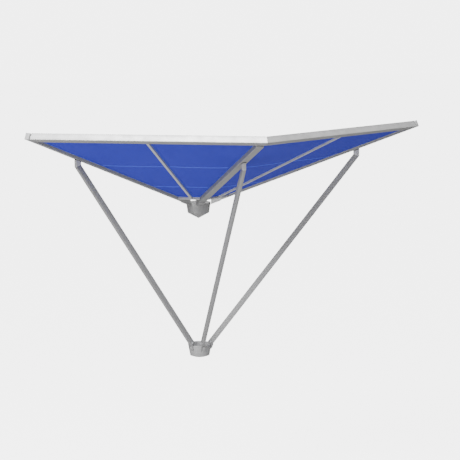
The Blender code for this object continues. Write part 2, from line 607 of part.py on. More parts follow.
# ---------------------------------------------------------------- assembly
def build():
    mast_parts()
    head = hinge_empty("head_axis", Vector((0, 0, 0)), Vector((0, 0, 1)))
    ring_parts(head)
    hub_parts(head)

    rim_inside = RIM_REACH - RIM_WIDTH
    widest = max(MIDDLE_ARM_RIGHT, -MIDDLE_ARM_LEFT)
    middle_end = rim_inside / cos(HALF_BAY_ANGLE) - (widest + TIP_CLEARANCE) * tan(HALF_BAY_ANGLE)
    arm("middle", 0, level_plane(0, HUB_TOP_RADIUS + GAP), middle_end, head, MIDDLE_ARM_LEFT, MIDDLE_ARM_RIGHT)
    arm_cradle("middle", 0, head, MIDDLE_ARM_LEFT, MIDDLE_ARM_RIGHT)
    strut_parts("middle", MIDDLE_STRUT_AZIMUTH, head)
    foot_clevis("middle", MIDDLE_STRUT_AZIMUTH, head)
    foot_pin("middle", MIDDLE_STRUT_AZIMUTH, head)

    for label, side in (("left", -1), ("right", 1)):
        azimuth = side * ARM_SPACING
        bay = azimuth / 2
        axis_frame = hinge_axis(side)
        along = axis_frame.to_3x3() @ Vector((1, 0, 0))
        wing = hinge_empty(f"{label}_wing_axis", axis_frame.translation, along * side)
        wing_parts(label, bay, azimuth, wing)
        arm(label, azimuth, level_plane(azimuth, HUB_TOP_RADIUS + ROOT_CLEARANCE), TIP, wing)
        arm_cradle(label, azimuth, head)
        hinge_parts(label, side, head, wing, bay)
        pin = pin_frame(azimuth)
        across = Vector((0, 0, 1)).cross(radial(azimuth))
        swing = hinge_empty(f"{label}_strut_axis", pin.translation, -across)
        strut_parts(label, azimuth, swing)
        foot_clevis(label, azimuth, head)
        foot_pin(label, azimuth, head)


build()
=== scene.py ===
"""Looks of the rotary clothesline head: tube, castings, stitched cloth, fasteners, light and camera."""
from math import atan, cos, pi, radians, sin, tan

import bmesh
import bpy
from mathutils import Matrix, Vector, noise


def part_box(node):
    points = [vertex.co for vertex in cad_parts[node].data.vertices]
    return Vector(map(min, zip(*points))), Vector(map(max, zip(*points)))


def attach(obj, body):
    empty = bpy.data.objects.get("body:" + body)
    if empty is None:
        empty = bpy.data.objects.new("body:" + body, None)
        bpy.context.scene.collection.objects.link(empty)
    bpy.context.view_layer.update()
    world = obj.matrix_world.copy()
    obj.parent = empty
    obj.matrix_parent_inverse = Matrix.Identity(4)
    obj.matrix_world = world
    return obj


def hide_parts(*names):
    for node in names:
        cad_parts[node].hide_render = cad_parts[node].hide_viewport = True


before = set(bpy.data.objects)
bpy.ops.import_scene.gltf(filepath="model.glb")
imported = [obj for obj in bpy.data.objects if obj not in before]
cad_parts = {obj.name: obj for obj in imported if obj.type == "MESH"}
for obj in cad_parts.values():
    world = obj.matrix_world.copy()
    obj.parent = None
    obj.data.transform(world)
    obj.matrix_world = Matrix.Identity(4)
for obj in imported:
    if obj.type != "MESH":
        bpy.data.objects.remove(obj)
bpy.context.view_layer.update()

# ---------------------------------------------------------------- sizes shared with the frame, in metres
ARM_RADIUS = 1.600              # head's axis to an arm's tip, measured level
ARM_SPACING = radians(60)
ARM_SLOPE = radians(21.2)
ARM_MEET_HEIGHT = 1.0118        # height above the ring's rim where the arms' undersides would meet
RIM_WIDTH = 0.056
INNER_RAIL_RADIUS = 0.247       # level distance along an arm to the inner rail's outer face
MID_BAR_WIDTH = 0.018
MIDDLE_ARM_LEFT = 0.047         # middle arm's side faces, from the centre plane
MIDDLE_ARM_RIGHT = 0.006
MIDDLE_STRUT_AZIMUTH = radians(-1.0)
CLOTH_HINGE_SETBACK = 0.0062    # middle arm's side to the cloth
CLOTH_ARM_INSET = 0.0252        # a side arm's centre line to the cloth
GAP = 0.0004                    # between the cloth and the faces of the rails
TUBE_WALL = 0.002
STRUT_SLOPE = radians(52.6)
STRUT_WIDTH = 0.024
STRUT_LINE_RADIUS = 0.073       # where a strut's middle line crosses the height of the ring's rim
RING_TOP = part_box("lower_ring")[1].z
RING_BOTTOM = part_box("lower_ring")[0].z
RING_TOP_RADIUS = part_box("lower_ring")[1].x
RING_BOTTOM_RADIUS = 0.072
HUB_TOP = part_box("hub_shell")[1].z
HUB_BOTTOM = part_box("hub_shell")[0].z
HUB_TOP_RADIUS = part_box("hub_shell")[1].x
HUB_BOTTOM_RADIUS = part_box("hub_cone")[1].x
CONE_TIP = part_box("hub_cone")[0].z

MEET = Vector((0, 0, RING_TOP + ARM_MEET_HEIGHT))
BAY_SLOPE = atan(tan(ARM_SLOPE) / cos(ARM_SPACING / 2))
RIM_REACH = ARM_RADIUS * cos(ARM_SPACING / 2) / cos(BAY_SLOPE)
HALF_BAY_ANGLE = atan(ARM_RADIUS / 2 / RIM_REACH)
INNER_REACH = RIM_REACH * INNER_RAIL_RADIUS / ARM_RADIUS
SIDES = (("left", -1), ("right", 1))

# ---------------------------------------------------------------- sizes of the finished pieces, in metres
BROAD_TUBE_EDGE = 0.002         # corner radius of arms and rims
STRUT_EDGE = 0.0025
BAR_EDGE = 0.0015               # corner radius of the bars and rails inside a bay
CAST_EDGE = 0.0016
RIM_BEAD = 0.0014               # radius of a weld bead
BAR_BEAD = 0.0013
ALL_ROUND = ((0, 0), (1, 0), (1, 1), (0, 1), (0, 0))
OPEN_ROUND = ALL_ROUND[:4]
MERGE_DISTANCE = 0.00001

CLOTH_LEVEL = 0.017             # height of the cloth's middle surface above the rails' undersides
CLOTH_SAG = 0.006
CLOTH_THICKNESS = 0.0009
CLOTH_ROWS = 84
CLOTH_COLUMNS = 44
HEM = 0.016
HEM_SLANT = HEM / cos(HALF_BAY_ANGLE)
TAPE_WIDTH = 0.014
TAPE_THICKNESS = 0.0008         # of a seam tape, and of a hem folded under
UNDER_CLOTH = -(CLOTH_THICKNESS + TAPE_THICKNESS) / 2
SEAM_SHARES = (0.32, 0.625)     # places of the seams, as shares of the reach to the rim

# ---------------------------------------------------------------- light
SOFT_LIGHT = 0.27
SEEN_WHITE = 5.0


def radial(azimuth):
    return Vector((sin(azimuth), -cos(azimuth), 0))


def sloped_frame(azimuth, slope, origin=MEET):
    """X runs outward and up the slope, Y is level and across it, Z is square to both."""
    out = radial(azimuth)
    across = Vector((0, 0, 1)).cross(out)
    along = out * cos(slope) + Vector((0, 0, sin(slope)))
    turn = Matrix((along, across, along.cross(across))).transposed()
    return Matrix.Translation(origin) @ turn.to_4x4()


def strut_frame(azimuth):
    foot = radial(azimuth) * STRUT_LINE_RADIUS + Vector((0, 0, RING_TOP))
    return sloped_frame(azimuth, STRUT_SLOPE, foot)


# ---------------------------------------------------------------- camera, light and floor
def place_camera():
    """An 11 m stand-off, a little left of the middle arm and looking slightly down."""
    azimuth = radians(-15.903)
    distance = 11.029
    height = RING_TOP + 2.541
    heading = radians(17.098)
    pitch = radians(8.723)
    roll = radians(-0.387)
    ahead = Vector((sin(heading) * cos(pitch), cos(heading) * cos(pitch), -sin(pitch)))
    level_right = Vector((cos(heading), -sin(heading), 0))
    level_up = level_right.cross(ahead)
    right = level_right * cos(roll) + level_up * sin(roll)
    up = level_up * cos(roll) - level_right * sin(roll)
    data = bpy.data.cameras.new("view")
    data.sensor_width = 36
    data.lens = 119.1
    data.clip_end = 200
    camera = bpy.data.objects.new("view", data)
    turn = Matrix((right, up, -ahead)).transposed().to_4x4()
    camera.matrix_world = Matrix.Translation(radial(azimuth) * distance + Vector((0, 0, height))) @ turn
    bpy.context.scene.collection.objects.link(camera)
    bpy.context.scene.camera = camera


def area_light(name, direction, distance, size, power):
    """A square lamp that faces the middle of the head from one direction."""
    middle = Vector((0, -0.6, 1.1))
    direction = Vector(direction).normalized()
    data = bpy.data.lights.new(name, 'AREA')
    data.shape = 'SQUARE'
    data.size = size
    data.energy = power
    lamp = bpy.data.objects.new(name, data)
    lamp.location = middle + direction * distance
    lamp.rotation_mode = 'QUATERNION'
    lamp.rotation_quaternion = (-direction).to_track_quat('-Z', 'Y')
    lamp.visible_camera = False
    bpy.context.scene.collection.objects.link(lamp)


def light_studio():
    """Soft even light and four lamps, the strongest high on the left; the studio itself looks white."""
    world = bpy.data.worlds.new("studio")
    bpy.context.scene.world = world
    world.use_nodes = True
    tree = world.node_tree
    soft = tree.nodes["Background"]
    soft.inputs["Color"].default_value = (1.0, 1.0, 1.0, 1)
    soft.inputs["Strength"].default_value = SOFT_LIGHT
    seen = tree.nodes.new("ShaderNodeBackground")
    seen.inputs["Color"].default_value = (1.0, 1.0, 1.0, 1)
    seen.inputs["Strength"].default_value = SEEN_WHITE
    ray = tree.nodes.new("ShaderNodeLightPath")
    mix = tree.nodes.new("ShaderNodeMixShader")
    tree.links.new(ray.outputs["Is Camera Ray"], mix.inputs[0])
    tree.links.new(soft.outputs[0], mix.inputs[1])
    tree.links.new(seen.outputs[0], mix.inputs[2])
    tree.links.new(mix.outputs[0], tree.nodes["World Output"].inputs["Surface"])
    area_light("front_left_lamp", (-0.37, -0.88, 0.28), distance=8.0, size=3.0, power=160)
    area_light("high_left_lamp", (-0.56, -0.55, 0.62), distance=7.0, size=2.0, power=1100)
    area_light("high_right_lamp", (0.86, -0.25, 0.45), distance=7.0, size=2.5, power=150)
    area_light("low_left_lamp", (-0.82, -0.34, -0.46), distance=3.6, size=1.5, power=30)


def lay_floor():
    """A plain pale floor well below the head, as white to the camera as the studio round it."""
    floor_height = -1.25
    half = 60
    bm = bmesh.new()
    bmesh.ops.create_grid(bm, x_segments=1, y_segments=1, size=half,
                          matrix=Matrix.Translation((0, 0, floor_height)))
    mesh = bpy.data.meshes.new("floor")
    bm.to_mesh(mesh)
    bm.free()
    floor = bpy.data.objects.new("floor", mesh)
    bpy.context.scene.collection.objects.link(floor)
    mat = bpy.data.materials.new("pale_floor")
    mat.use_nodes = True
    shader = mat.node_tree.nodes["Principled BSDF"]
    shader.inputs["Base Color"].default_value = (0.6, 0.6, 0.6, 1)
    shader.inputs["Roughness"].default_value = 0.9
    shader.inputs["Emission Color"].default_value = (1.0, 1.0, 1.0, 1)
    ray = mat.node_tree.nodes.new("ShaderNodeLightPath")
    glow = math_node(mat.node_tree, 'MULTIPLY', ray.outputs["Is Camera Ray"], SEEN_WHITE - SOFT_LIGHT)
    mat.node_tree.links.new(glow, shader.inputs["Emission Strength"])
    mesh.materials.append(mat)


# ---------------------------------------------------------------- shader building blocks
def new_group(name, inputs, outputs):
    """An empty shader group with its sockets, and its two end nodes."""
    group = bpy.data.node_groups.new(name, 'ShaderNodeTree')
    for label, kind, value in inputs:
        socket = group.interface.new_socket(label, in_out='INPUT', socket_type=kind)
        if value is not None:
            socket.default_value = value
    for label, kind in outputs:
        group.interface.new_socket(label, in_out='OUTPUT', socket_type=kind)
    return group, group.nodes.new("NodeGroupInput"), group.nodes.new("NodeGroupOutput")


def math_node(tree, operation, a, b=None, c=None, clamp=False):
    node = tree.nodes.new("ShaderNodeMath")
    node.operation = operation
    node.use_clamp = clamp
    for slot, value in enumerate((a, b, c)):
        if value is None:
            continue
        if isinstance(value, (int, float)):
            node.inputs[slot].default_value = value
        else:
            tree.links.new(value, node.inputs[slot])
    return node.outputs[0]


def noise_node(tree, vector, scale, detail=3.0, rough=0.5):
    node = tree.nodes.new("ShaderNodeTexNoise")
    node.inputs["Scale"].default_value = scale
    node.inputs["Detail"].default_value = detail
    node.inputs["Roughness"].default_value = rough
    tree.links.new(vector, node.inputs["Vector"])
    return node.outputs["Fac"]


def stretch(tree, vector, factors):
    node = tree.nodes.new("ShaderNodeVectorMath")
    node.operation = 'MULTIPLY'
    node.inputs[1].default_value = factors
    tree.links.new(vector, node.inputs[0])
    return node.outputs[0]


def remap(tree, value, low, high, new_low=0.0, new_high=1.0):
    node = tree.nodes.new("ShaderNodeMapRange")
    for slot, number in zip(("From Min", "From Max", "To Min", "To Max"), (low, high, new_low, new_high)):
        node.inputs[slot].default_value = number
    tree.links.new(value, node.inputs["Value"])
    return node.outputs["Result"]


def mix_colours(tree, factor, first, second):
    node = tree.nodes.new("ShaderNodeMix")
    node.data_type = 'RGBA'
    for slot, value in ((0, factor), (6, first), (7, second)):
        if isinstance(value, (tuple, float)):
            node.inputs[slot].default_value = value
        else:
            tree.links.new(value, node.inputs[slot])
    return node.outputs[2]


def drawn_tube_group():
    """Lines left by the extrusion die, faint handling smudges and the roughness that goes with them."""
    group, source, result = new_group(
        "drawn_tube", [("Lay", 'NodeSocketVector', None), ("Smudge", 'NodeSocketFloat', 0.5)],
        [("Shade", 'NodeSocketFloat'), ("Gloss", 'NodeSocketFloat'), ("Height", 'NodeSocketFloat')])
    lay = source.outputs["Lay"]
    lines = noise_node(group, stretch(group, lay, (3.0, 900.0, 900.0)), 1.0, 2.0, 0.6)
    coarse = noise_node(group, stretch(group, lay, (1.2, 160.0, 160.0)), 1.0, 2.0, 0.5)
    smudges = noise_node(group, lay, 9.0, 5.0, 0.62)
    blotch = math_node(group, 'MULTIPLY', remap(group, smudges, 0.42, 0.75), source.outputs["Smudge"])
    grain = math_node(group, 'ADD', math_node(group, 'MULTIPLY', lines, 0.6),
                      math_node(group, 'MULTIPLY', coarse, 0.4))
    shade = math_node(group, 'SUBTRACT', remap(group, grain, 0.3, 0.7, 0.35, 0.75),
                      math_node(group, 'MULTIPLY', blotch, 0.35), clamp=True)
    gloss = math_node(group, 'ADD', remap(group, grain, 0.3, 0.7, 0.34, 0.44),
                      math_node(group, 'MULTIPLY', blotch, 0.18), clamp=True)
    group.links.new(shade, result.inputs["Shade"])
    group.links.new(gloss, result.inputs["Gloss"])
    group.links.new(grain, result.inputs["Height"])
    return group


def cast_skin_group():
    """Fine blasted texture of a sand casting, with darker hollows."""
    group, source, result = new_group(
        "cast_skin", [("Place", 'NodeSocketVector', None), ("Grit", 'NodeSocketFloat', 1.0)],
        [("Shade", 'NodeSocketFloat'), ("Gloss", 'NodeSocketFloat'), ("Height", 'NodeSocketFloat')])
    place = source.outputs["Place"]
    grit = noise_node(group, place, 900.0, 3.0, 0.6)
    swell = noise_node(group, place, 45.0, 4.0, 0.55)
    height = math_node(group, 'MULTIPLY', math_node(group, 'ADD', grit, swell), source.outputs["Grit"])
    shade = remap(group, swell, 0.3, 0.7, 0.25, 0.8)
    gloss = remap(group, grit, 0.3, 0.7, 0.42, 0.58)
    group.links.new(shade, result.inputs["Shade"])
    group.links.new(gloss, result.inputs["Gloss"])
    group.links.new(height, result.inputs["Height"])
    return group


def cloth_weave_group():
    """Plain weave in metres on the cloth's own flat coordinates: threads, slubs and faint sun fading."""
    group, source, result = new_group(
        "cloth_weave", [("Flat", 'NodeSocketVector', None), ("Threads", 'NodeSocketFloat', 520.0)],
        [("Thread", 'NodeSocketFloat'), ("Fade", 'NodeSocketFloat'), ("Height", 'NodeSocketFloat')])
    split = group.nodes.new("ShaderNodeSeparateXYZ")
    group.links.new(source.outputs["Flat"], split.inputs[0])
    phase = [math_node(group, 'MULTIPLY', math_node(group, 'MULTIPLY', split.outputs[axis],
                                                    source.outputs["Threads"]), 2 * pi) for axis in (0, 1)]
    warp = math_node(group, 'SINE', phase[0])
    weft = math_node(group, 'SINE', phase[1])
    crossing = math_node(group, 'MULTIPLY', warp, weft)
    slub_warp = noise_node(group, stretch(group, source.outputs["Flat"], (520.0, 9.0, 1.0)), 1.0, 2.0)
    slub_weft = noise_node(group, stretch(group, source.outputs["Flat"], (9.0, 520.0, 1.0)), 1.0, 2.0)
    slub = math_node(group, 'MULTIPLY', math_node(group, 'ADD', slub_warp, slub_weft), 0.5)
    thread = math_node(group, 'ADD', remap(group, crossing, -1.0, 1.0, 0.0, 0.35),
                       remap(group, slub, 0.35, 0.65, 0.0, 0.65), clamp=True)
    fade = remap(group, noise_node(group, source.outputs["Flat"], 1.7, 4.0, 0.55), 0.3, 0.7)
    height = math_node(group, 'ADD', math_node(group, 'MULTIPLY', crossing, 0.5),
                       math_node(group, 'MULTIPLY', slub, 0.8))
    group.links.new(thread, result.inputs["Thread"])
    group.links.new(fade, result.inputs["Fade"])
    group.links.new(height, result.inputs["Height"])
    return group


def start_material(name):
    mat = bpy.data.materials.new(name)
    mat.use_nodes = True
    tree = mat.node_tree
    return mat, tree, tree.nodes["Principled BSDF"]


def place_group(tree, group, values):
    node = tree.nodes.new("ShaderNodeGroup")
    node.node_tree = group
    for label, value in values.items():
        if isinstance(value, (int, float)):
            node.inputs[label].default_value = value
        else:
            tree.links.new(value, node.inputs[label])
    return node


def add_bump(tree, shader, height, distance, strength=1.0):
    bump = tree.nodes.new("ShaderNodeBump")
    bump.inputs["Distance"].default_value = distance
    bump.inputs["Strength"].default_value = strength
    tree.links.new(height, bump.inputs["Height"])
    tree.links.new(bump.outputs["Normal"], shader.inputs["Normal"])


def coordinates(tree, kind, name=""):
    """One of a piece's own sets of coordinates, or a named attribute stored on its points."""
    if kind == "attribute":
        node = tree.nodes.new("ShaderNodeAttribute")
        node.attribute_name = name
        return node.outputs["Vector"]
    node = tree.nodes.new("ShaderNodeTexCoord")
    return node.outputs[kind]


def tube_material(name, group, dark, light, smudge):
    mat, tree, shader = start_material(name)
    skin = place_group(tree, group, {"Lay": coordinates(tree, "attribute", "lay"), "Smudge": smudge})
    tree.links.new(mix_colours(tree, skin.outputs["Shade"], dark, light), shader.inputs["Base Color"])
    tree.links.new(skin.outputs["Gloss"], shader.inputs["Roughness"])
    shader.inputs["Metallic"].default_value = 0.4
    add_bump(tree, shader, skin.outputs["Height"], 0.00004)
    return mat


def cast_material(name, group, dark, light, metal, grit):
    mat, tree, shader = start_material(name)
    skin = place_group(tree, group, {"Place": coordinates(tree, "Object"), "Grit": grit})
    tree.links.new(mix_colours(tree, skin.outputs["Shade"], dark, light), shader.inputs["Base Color"])
    tree.links.new(skin.outputs["Gloss"], shader.inputs["Roughness"])
    shader.inputs["Metallic"].default_value = metal
    add_bump(tree, shader, skin.outputs["Height"], 0.00006)
    return mat


def cloth_material(name, group, deep, bright, pale):
    mat, tree, shader = start_material(name)
    weave = place_group(tree, group, {"Flat": coordinates(tree, "UV")})
    thread = mix_colours(tree, weave.outputs["Thread"], deep, bright)
    faded = math_node(tree, 'MULTIPLY', weave.outputs["Fade"], 0.22)
    tree.links.new(mix_colours(tree, faded, thread, pale), shader.inputs["Base Color"])
    tree.links.new(remap(tree, weave.outputs["Thread"], 0.0, 1.0, 0.72, 0.88), shader.inputs["Roughness"])
    shader.inputs["Specular IOR Level"].default_value = 0.15
    shader.inputs["Sheen Weight"].default_value = 0.04
    add_bump(tree, shader, weave.outputs["Height"], 0.00018)
    return mat


def grey(value, cool=0.0):
    """A grey, with a trace more blue where it is cool."""
    return (value, value, value + cool, 1)


def make_materials():
    """Every finish of the head, by the short word that the pieces ask for it with; two of them are paler
    copies that carry painted light.
    """
    drawn = drawn_tube_group()
    cast = cast_skin_group()
    weave = cloth_weave_group()
    nylon = ((0.70, 0.69, 0.66, 1), (0.80, 0.79, 0.76, 1))
    blue = ((0.020, 0.028, 0.35, 1), (0.029, 0.040, 0.52, 1), (0.048, 0.064, 0.60, 1))
    tape_blue = ((0.050, 0.085, 0.66, 1), (0.075, 0.120, 0.86, 1), (0.090, 0.140, 0.86, 1))
    thread_blue = ((0.10, 0.17, 0.66, 1), (0.15, 0.24, 0.80, 1), (0.20, 0.30, 0.80, 1))
    return {
        "tube": tube_material("satin_aluminium", drawn, grey(0.25, 0.002), grey(0.36, 0.002), 0.5),
        # Paler copy of the satin aluminium: painted light on the inner rails and middle bars, which the
        # cloth shades from the lamps.
        "bright": tube_material("aluminium_painted_light", drawn, grey(0.44, 0.002), grey(0.58, 0.002), 0.4),
        "cast": cast_material("cast_aluminium", cast, grey(0.27, 0.002), grey(0.37, 0.002), 0.35, 1.0),
        # Paler, less metallic copy of the cast aluminium: painted light on the strut heads' brightly lit
        # faces.
        "block": cast_material("casting_painted_light", cast, grey(0.50, 0.002), grey(0.62, 0.002), 0.1, 1.0),
        "steel": cast_material("zinc_plated_steel", cast, grey(0.46, 0.02), grey(0.62, 0.02), 0.9, 0.3),
        "cap": cast_material("grey_end_cap", cast, grey(0.36, 0.005), grey(0.44, 0.005), 0.0, 0.8),
        "weld": cast_material("weld_metal", cast, grey(0.30, 0.005), grey(0.42, 0.005), 0.5, 1.0),
        "bush": cast_material("natural_nylon", cast, *nylon, 0.0, 0.5),
        "pad": cast_material("black_rubber", cast, grey(0.02), grey(0.05), 0.0, 1.0),
        "cloth": cloth_material("blue_cloth", weave, *blue),
        "seam": cloth_material("blue_seam_tape", weave, *tape_blue),
        "thread": cloth_material("pale_thread", weave, *thread_blue),
    }


# ---------------------------------------------------------------- making pieces
def make_piece(name, bm, mat, body, smooth_angle=radians(40)):
    """A finished mesh as a piece that moves with one body of the head."""
    mesh = bpy.data.meshes.new(name)
    bm.to_mesh(mesh)
    bm.free()
    mesh.shade_smooth()
    mesh.set_sharp_from_angle(angle=smooth_angle)
    mesh.materials.append(mat)
    piece = bpy.data.objects.new(name, mesh)
    bpy.context.scene.collection.objects.link(piece)
    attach(piece, body)
    return piece


def store_lay(piece, matrix):
    """Keeps each point's place along and across its tube, so that the drawn lines follow the metal."""
    inverse = matrix.inverted()
    layer = piece.data.attributes.new("lay", 'FLOAT_VECTOR', 'POINT')
    for vertex, item in zip(piece.data.vertices, layer.data):
        item.vector = inverse @ vertex.co


def merged_copy(node):
    """A node's solid with its doubles merged and its flat faces made whole."""
    bm = bmesh.new()
    bm.from_mesh(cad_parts[node].data)
    bmesh.ops.remove_doubles(bm, verts=bm.verts, dist=2 * MERGE_DISTANCE)
    bmesh.ops.dissolve_limit(bm, angle_limit=radians(0.5), verts=bm.verts, edges=bm.edges)
    return bm


def softened(node, mat, body, radius):
    """A machined or moulded piece with its sharp edges broken."""
    bm = merged_copy(node)
    sharp = [e for e in bm.edges if len(e.link_faces) == 2 and e.calc_face_angle(0) > radians(35)]
    bmesh.ops.bevel(bm, geom=sharp, offset=radius, segments=2, profile=0.5, affect='EDGES',
                    clamp_overlap=True, material=-1)
    piece = make_piece(f"{node}_softened", bm, mat, body)
    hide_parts(node)


def spin_profile(profile, steps, closed=True):
    """A profile of (radius, height) points spun a full turn about Z."""
    bm = bmesh.new()
    points = [bm.verts.new((r, 0, z)) for r, z in profile]
    first = 0 if closed else 1
    edges = [bm.edges.new((points[i - 1], points[i])) for i in range(first, len(points))]
    bmesh.ops.spin(bm, geom=points + edges, cent=(0, 0, 0), axis=(0, 0, 1), angle=2 * pi, steps=steps,
                   use_merge=True)
    bmesh.ops.remove_doubles(bm, verts=bm.verts, dist=MERGE_DISTANCE)
    bmesh.ops.recalc_face_normals(bm, faces=bm.faces)
    return bm


def turned(node, finish, profile, mat, body):
    """A closed outline of (radius, height) points turned about the head's axis, in place of a node."""
    piece = make_piece(f"{node}_{finish}", spin_profile(profile, 144), mat, body)
    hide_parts(node)


def circle(radius, sides, height=0.0):
    """Points evenly round the Z axis."""
    return [Vector((radius * cos(2 * pi * k / sides), radius * sin(2 * pi * k / sides), height))
            for k in range(sides)]


def bridge(bm, near, far):
    """A band of faces between two rings with as many points as each other."""
    for i in range(len(near)):
        j = (i + 1) % len(near)
        bm.faces.new((near[i], near[j], far[j], far[i]))


def round_bar_into(bm, path, radii, sides=8):
    """A closed round bar along a path, with its own radius at each point."""
    rings = []
    for k, (here, radius) in enumerate(zip(path, radii)):
        ahead = (path[min(k + 1, len(path) - 1)] - path[max(k - 1, 0)]).normalized()
        turn = ahead.to_track_quat('Z', 'Y').to_matrix()
        rings.append([bm.verts.new(here + turn @ point) for point in circle(radius, sides)])
    for near, far in zip(rings, rings[1:]):
        bridge(bm, near, far)
    bm.faces.new(list(reversed(rings[0])))
    bm.faces.new(rings[-1])


def rounded_outline(corners, radius, steps=4):
    """The same outline with each corner turned into a small arc."""
    points = []
    count = len(corners)
    for i, corner in enumerate(corners):
        here = Vector(corner)
        before = Vector(corners[i - 1]) - here
        after = Vector(corners[(i + 1) % count]) - here
        reach = min(radius, before.length * 0.45, after.length * 0.45)
        start = here + before.normalized() * reach
        end = here + after.normalized() * reach
        for k in range(steps + 1):
            t = k / steps
            points.append((start * (1 - t) ** 2 + here * 2 * t * (1 - t) + end * t ** 2).to_tuple())
    return points


# ---------------------------------------------------------------- drawn tubes
def tube_corners(node, matrix):
    """The tube's outer sides and, at each end, how far along the frame's X its four corners are."""
    same = 0.0002
    inverse = matrix.inverted()
    places = [inverse @ v.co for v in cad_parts[node].data.vertices]
    sides = [(min(p[axis] for p in places), max(p[axis] for p in places)) for axis in (1, 2)]
    ends = []
    for pick in (min, max):
        ends.append({(y, z): pick(p.x for p in places if abs(p.y - y) < same and abs(p.z - z) < same)
                     for y in sides[0] for z in sides[1]})
    return sides, ends


def tube_outline(sides, radius, steps=4):
    """A rectangle with round corners, as (y, z) points."""
    (y0, y1), (z0, z1) = sides
    points = []
    for y, z, start in ((y0 + radius, z0 + radius, 180), (y1 - radius, z0 + radius, 270),
                        (y1 - radius, z1 - radius, 0), (y0 + radius, z1 - radius, 90)):
        for k in range(steps + 1):
            angle = radians(start + 90 * k / steps)
            points.append((y + radius * cos(angle), z + radius * sin(angle)))
    return points


def drawn_tube(node, body, matrix, mat, radius):
    """A tube with the corner radius of its extrusion and ends that are sawn and filed."""
    sides, ends = tube_corners(node, matrix)
    (y0, y1), (z0, z1) = sides
    file_off = 0.0004
    bore_edge = 0.0005

    def station(end, y, z):
        base = ends[end][(y0, z0)]
        lean_y = (ends[end][(y1, z0)] - base) / (y1 - y0)
        lean_z = (ends[end][(y0, z1)] - base) / (z1 - z0)
        return base + lean_y * (y - y0) + lean_z * (z - z0)

    outer = tube_outline(sides, radius)
    filed = tube_outline([(low + file_off, high - file_off) for low, high in sides], radius - file_off)
    bore = tube_outline([(low + TUBE_WALL, high - TUBE_WALL) for low, high in sides], bore_edge)
    rows = ((bore, 0, 0.0), (filed, 0, 0.0), (outer, 0, file_off),
            (outer, 1, -file_off), (filed, 1, 0.0), (bore, 1, 0.0))
    bm = bmesh.new()
    loops = [[bm.verts.new((station(end, y, z) + shift, y, z)) for y, z in row] for row, end, shift in rows]
    for near, far in zip(loops, loops[1:] + loops[:1]):
        bridge(bm, near, far)
    bmesh.ops.recalc_face_normals(bm, faces=bm.faces)
    bmesh.ops.transform(bm, matrix=matrix, verts=bm.verts)
    piece = make_piece(f"{node}_drawn", bm, mat, body, radians(35))
    store_lay(piece, matrix)
    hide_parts(node)


def bead_into(bm, points, radius, seed):
    """A weld bead along a line of points, with the ripples that the torch leaves."""
    step = 0.0014
    path = []
    for start, end in zip(points, points[1:]):
        count = max(2, int((end - start).length / step))
        path += [start.lerp(end, k / count) for k in range(count)]
    path.append(points[-1])
    radii = []
    for k in range(len(path)):
        ripple = 0.12 * sin(2 * pi * k / 4) + 0.16 * noise.noise(Vector((k * 0.23, seed, 0)))
        taper = 0.55 if k in (0, len(path) - 1) else 1
        radii.append(radius * (1 + ripple) * taper)
    round_bar_into(bm, path, radii)


def weld_tube_ends(name, body, mat, joints):
    """Beads round tube ends; each joint is (node, frame, end, which corners in order, radius)."""
    bm = bmesh.new()
    for seed, (node, matrix, end, order, radius) in enumerate(joints):
        sides, ends = tube_corners(node, matrix)
        corners = [(sides[0][y], sides[1][z]) for y, z in order]
        bead_into(bm, [matrix @ Vector((ends[end][(y, z)], y, z)) for y, z in corners], radius, seed)
    bmesh.ops.recalc_face_normals(bm, faces=bm.faces)
    make_piece(name, bm, mat, body, radians(60))


# ---------------------------------------------------------------- ring, hub and mast sleeve
def cast_ring(mats):
    """The open lower ring: a leaning wall, a floor and a boss for the bush."""
    wall = 0.0035
    floor = 0.007
    boss_bore = 0.0325
    boss_radius = 0.037
    boss_top = 0.0505
    taper = (RING_TOP_RADIUS - RING_BOTTOM_RADIUS) / (RING_TOP - RING_BOTTOM)
    floor_top = RING_BOTTOM + floor
    inside_foot = RING_BOTTOM_RADIUS + taper * floor - wall
    outline = [(boss_bore, RING_BOTTOM), (RING_BOTTOM_RADIUS, RING_BOTTOM), (RING_TOP_RADIUS, RING_TOP),
               (RING_TOP_RADIUS - wall, RING_TOP), (inside_foot, floor_top), (boss_radius, floor_top),
               (boss_radius, boss_top), (boss_bore, boss_top)]
    outline = rounded_outline(outline, CAST_EDGE)
    turned("lower_ring", "cast", outline, mats["cast"], "head")


def cast_hub(mats):
    """The hub's open wall, and the cone that closes it below."""
    wall = 0.004
    outline = [(HUB_BOTTOM_RADIUS, HUB_BOTTOM), (HUB_TOP_RADIUS, HUB_TOP), (HUB_TOP_RADIUS - wall, HUB_TOP),
               (HUB_BOTTOM_RADIUS - wall, HUB_BOTTOM)]
    outline = rounded_outline(outline, CAST_EDGE)
    turned("hub_shell", "cast", outline, mats["cast"], "head")
    cone_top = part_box("hub_cone")[1].z
    steepness = (cone_top - CONE_TIP) / HUB_BOTTOM_RADIUS
    inner_radius = HUB_BOTTOM_RADIUS - wall
    lip_radius = HUB_BOTTOM_RADIUS - 0.0008
    nose = 0.004
    cone = [(0.0, CONE_TIP + 0.0008), (nose * 0.5, CONE_TIP + 0.0012),
            (nose, CONE_TIP + steepness * nose + 0.0002), (lip_radius, cone_top - 0.0006),
            (lip_radius, cone_top), (inner_radius, cone_top), (0.0, cone_top - steepness * inner_radius)]
    turned("hub_cone", "cast", cone, mats["cast"], "head")


def turned_collar(node, bore, edge, mat, body):
    """A plain ring with a bore, of the node's own height and outer size."""
    low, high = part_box(node)
    outline = [(bore, low.z), (high.x, low.z), (high.x, high.z), (bore, high.z)]
    turned(node, "turned", rounded_outline(outline, edge), mat, body)


